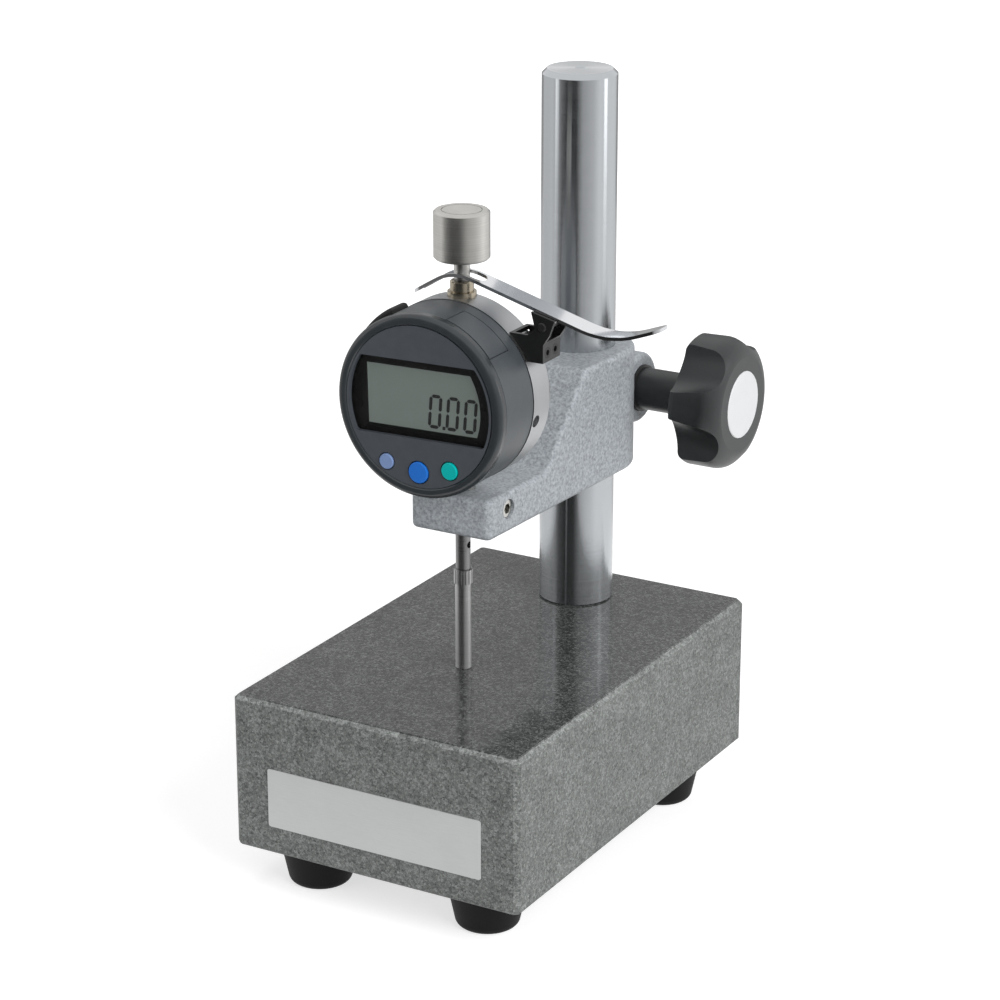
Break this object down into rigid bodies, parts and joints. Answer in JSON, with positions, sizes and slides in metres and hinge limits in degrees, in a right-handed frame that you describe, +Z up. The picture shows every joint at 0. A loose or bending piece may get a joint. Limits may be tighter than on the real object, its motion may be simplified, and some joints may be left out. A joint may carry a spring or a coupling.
{
  "type": "dial thickness gauge",
  "caption": "Bench thickness gauge: a stone base, a column, a clamped arm, a digital dial that turns, a weighted spindle and a lifting lever.",
  "frame": {"origin": "where the spindle's axis meets the base's top face, which is the measuring table", "axes": "+Z up along the spindle and the column, -Y towards the reader of the dial, +X to the reader's right"},
  "size_m": [0.1176, 0.1647, 0.2388],
  "materials": {
    "granite": "fine black, grey and white grain, honed sides and a lapped top",
    "foot_rubber": "matt black",
    "zinc_steel": "zinc plated",
    "nickel_steel": "nickel plated, satin",
    "column_chrome": "hard chrome, ground and polished",
    "arm_paint": "casting with hammered silver-grey paint",
    "black_steel": "blackened",
    "knob_plastic": "moulded, satin black",
    "cap_plastic": "light grey, satin",
    "bush_brass": "turned",
    "case_metal": "die cast, light grey satin",
    "back_plate_metal": "brushed sheet",
    "spring_steel": "phosphated",
    "sensor_plastic": "moulded",
    "bracket_black": "moulded, satin black",
    "drum_plastic": "moulded, dark grey with a touch of violet",
    "cover_rubber": "matt black",
    "bezel_plastic": "semi-gloss dark grey",
    "face_plastic": "fine matt dark grey",
    "window_clear": "clear, polished",
    "display_grey": "liquid crystal, grey-green",
    "carrier_black": "moulded",
    "board_green": "solder mask",
    "battery_steel": "polished",
    "button_violet": "moulded, pale violet-blue",
    "button_blue": "moulded, blue",
    "button_green": "moulded, green",
    "spindle_steel": "hardened and ground",
    "contact_steel": "turned, bright",
    "scale_glass": "fine graduated strip",
    "weight_steel": "turned, nickel plated",
    "lever_chrome": "chrome plated strip"
  },
  "bodies": {
    "base": {"granite_base": "granite", "foot_front_left": "foot_rubber", "foot_front_right": "foot_rubber", "foot_rear_left": "foot_rubber", "foot_rear_right": "foot_rubber", "foot_screws": "zinc_steel", "column": "column_chrome", "column_bolt": "zinc_steel", "column_washer": "zinc_steel"},
    "arm": {"arm_casting": "arm_paint", "stem_screw": "nickel_steel", "stem_pad": "bush_brass", "thrust_washer": "black_steel", "stem": "nickel_steel", "lower_stem_bush": "bush_brass", "upper_stem_bush": "bush_brass", "upper_bush": "bush_brass", "rear_case": "case_metal", "back_plate": "back_plate_metal", "back_plate_screws": "nickel_steel", "retaining_ring": "spring_steel", "reading_head": "sensor_plastic", "guide_bar": "bush_brass", "lever_bracket": "bracket_black", "bracket_screws": "black_steel", "pivot_pin": "black_steel"},
    "knob": {"clamp_screw": "zinc_steel", "knob_grip": "knob_plastic", "knob_cap": "cap_plastic"},
    "display": {"front_housing": "drum_plastic", "battery_cover": "drum_plastic", "socket_cover": "cover_rubber", "bezel_ring": "bezel_plastic", "face_plate": "face_plastic", "window_glass": "window_clear", "display_panel": "display_grey", "display_carrier": "carrier_black", "circuit_board": "board_green", "battery": "battery_steel", "key_mat": "cover_rubber"},
    "mode_key": {"mode_button": "button_violet"},
    "set_key": {"set_button": "button_blue"},
    "data_key": {"data_button": "button_green"},
    "spindle": {"spindle": "spindle_steel", "contact_foot": "contact_steel", "guide_pin": "spindle_steel", "linear_scale": "scale_glass", "weight": "weight_steel", "weight_stud": "spindle_steel"},
    "lever": {"lifting_lever": "lever_chrome"}
  },
  "joints": [
    {"name": "arm_height", "type": "slide", "parent": "base", "child": "arm", "axis": [0, 0, 1], "range_m": [0, 0.085]},
    {"name": "knob_turn", "type": "hinge", "parent": "arm", "child": "knob", "pos_m": [0, 0.09, 0.0682], "axis": [1, 0, 0], "range_deg": [0, 360]},
    {"name": "display_turn", "type": "hinge", "parent": "arm", "child": "display", "pos_m": [0, 0, 0.0914], "axis": [0, 1, 0], "range_deg": [-150, 150]},
    {"name": "mode_press", "type": "slide", "parent": "display", "child": "mode_key", "axis": [0, 1, 0], "range_m": [0, 0.0006], "stiffness_N_per_m": 300},
    {"name": "set_press", "type": "slide", "parent": "display", "child": "set_key", "axis": [0, 1, 0], "range_m": [0, 0.0006], "stiffness_N_per_m": 300},
    {"name": "data_press", "type": "slide", "parent": "display", "child": "data_key", "axis": [0, 1, 0], "range_m": [0, 0.0006], "stiffness_N_per_m": 300},
    {"name": "spindle_slide", "type": "slide", "parent": "arm", "child": "spindle", "axis": [0, 0, 1], "range_m": [0, 0.012]},
    {"name": "lever_lift", "type": "hinge", "parent": "arm", "child": "lever", "pos_m": [0.0301, 0, 0.1151], "axis": [0, 1, 0], "range_deg": [0, 32]}
  ],
  "couplings": [
    {"joint": "lever_lift", "follows": "spindle_slide", "rad_per_m": 45}
  ]
}
